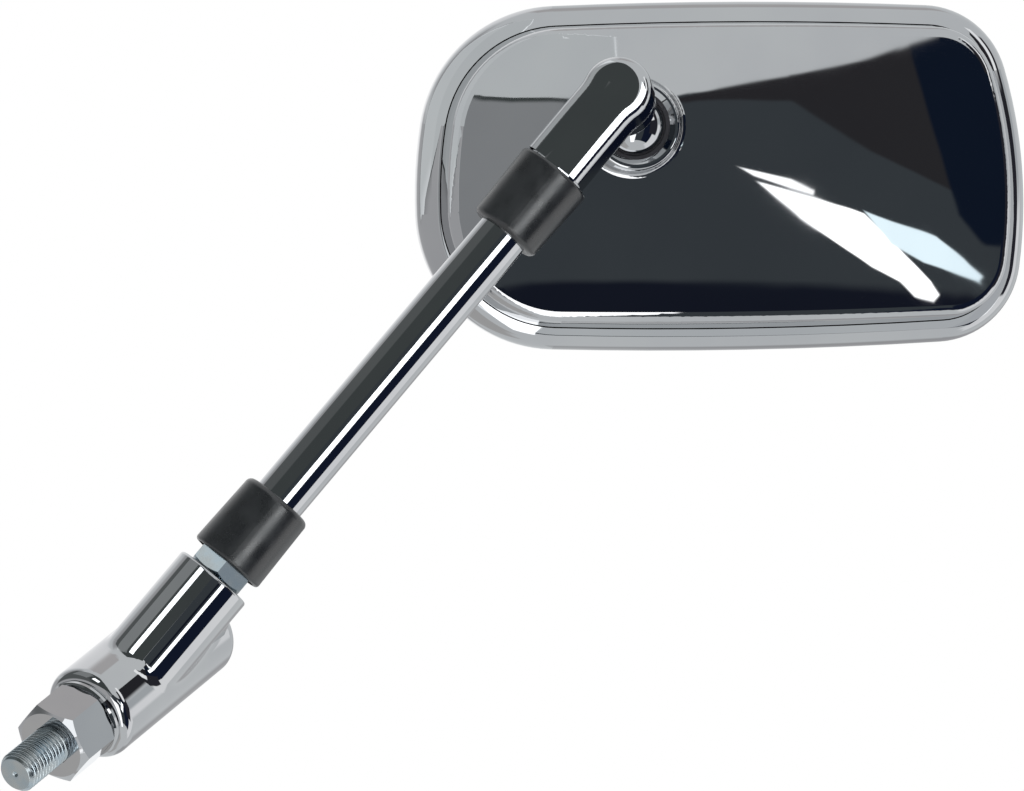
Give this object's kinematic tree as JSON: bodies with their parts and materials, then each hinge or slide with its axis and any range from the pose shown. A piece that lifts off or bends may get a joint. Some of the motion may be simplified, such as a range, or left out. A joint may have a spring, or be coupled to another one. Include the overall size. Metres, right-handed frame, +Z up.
{
  "type": "motorcycle mirror",
  "caption": "Motorcycle mirror on a threaded stud: angled cast base, chromed stem with rubber sleeves, and an elbow and ball joint that carry a rounded rectangular head.",
  "frame": {"origin": "on the stud's axis, in the plane where the stud leaves the lock nut and the handlebar's mirror boss would meet it", "axes": "+Z up as pictured, +X level to the picture's right, from the stud towards the head, +Y level, away from the viewer; the head's back faces -Y, turned 8 degrees towards +X"},
  "size_m": [0.251, 0.1167, 0.1931],
  "materials": {
    "chrome": "bright polished plating",
    "chromed_plastic": "bright chrome plating on moulded plastic",
    "zinc_steel": "bluish zinc plating",
    "rubber": "soft satin",
    "seat_plastic": "black moulded",
    "mirror": "silvered glass",
    "pad": "thin foam"
  },
  "bodies": {
    "base": {"stud": "zinc_steel", "lock_nut": "chrome", "washer": "zinc_steel", "base_casting": "chrome"},
    "stem": {"stem_tube": "chrome", "lower_stem_screw": "zinc_steel", "upper_stem_screw": "zinc_steel", "lower_jam_nut": "zinc_steel", "upper_jam_nut": "zinc_steel"},
    "lower_sleeve": {"lower_sleeve": "rubber"},
    "upper_sleeve": {"upper_sleeve": "rubber"},
    "elbow": {"elbow": "chrome", "ball_stud": "chrome"},
    "rear_seat": {"rear_ball_seat": "seat_plastic"},
    "front_seat": {"front_ball_seat": "seat_plastic"},
    "head": {"back_shell": "chromed_plastic", "bezel": "chrome", "gasket": "rubber", "mirror_glass": "mirror", "backing_pad": "pad", "retainer": "zinc_steel", "clamp_screws": "zinc_steel"}
  },
  "joints": [
    {"name": "stem_swivel", "type": "hinge", "parent": "base", "child": "stem", "pos_m": [0.01502, 0.02084, 0.01234], "axis": [0.6393, 0.1045, 0.7618], "range_deg": [-90, 90]},
    {"name": "lower_sleeve_slide", "type": "slide", "parent": "stem", "child": "lower_sleeve", "axis": [0.6393, 0.1045, 0.7618], "range_m": [0, 0.018]},
    {"name": "upper_sleeve_slide", "type": "slide", "parent": "stem", "child": "upper_sleeve", "axis": [-0.6393, -0.1045, -0.7618], "range_m": [0, 0.018]},
    {"name": "elbow_swivel", "type": "hinge", "parent": "stem", "child": "elbow", "pos_m": [0.1361, 0.04064, 0.15663], "axis": [0.6393, 0.1045, 0.7618], "range_deg": [-90, 90]},
    {"name": "head_roll", "type": "hinge", "parent": "elbow", "child": "rear_seat", "pos_m": [0.13973, 0.06435, 0.15033], "axis": [-0.1466, -0.956, 0.2541], "range_deg": [-20, 20]},
    {"name": "head_pan", "type": "hinge", "parent": "rear_seat", "child": "front_seat", "pos_m": [0.13973, 0.06435, 0.15033], "axis": [0, 0, 1], "range_deg": [-12, 12]},
    {"name": "head_tilt", "type": "hinge", "parent": "front_seat", "child": "head", "pos_m": [0.13973, 0.06435, 0.15033], "axis": [1, 0, 0], "range_deg": [-12, 12]}
  ]
}
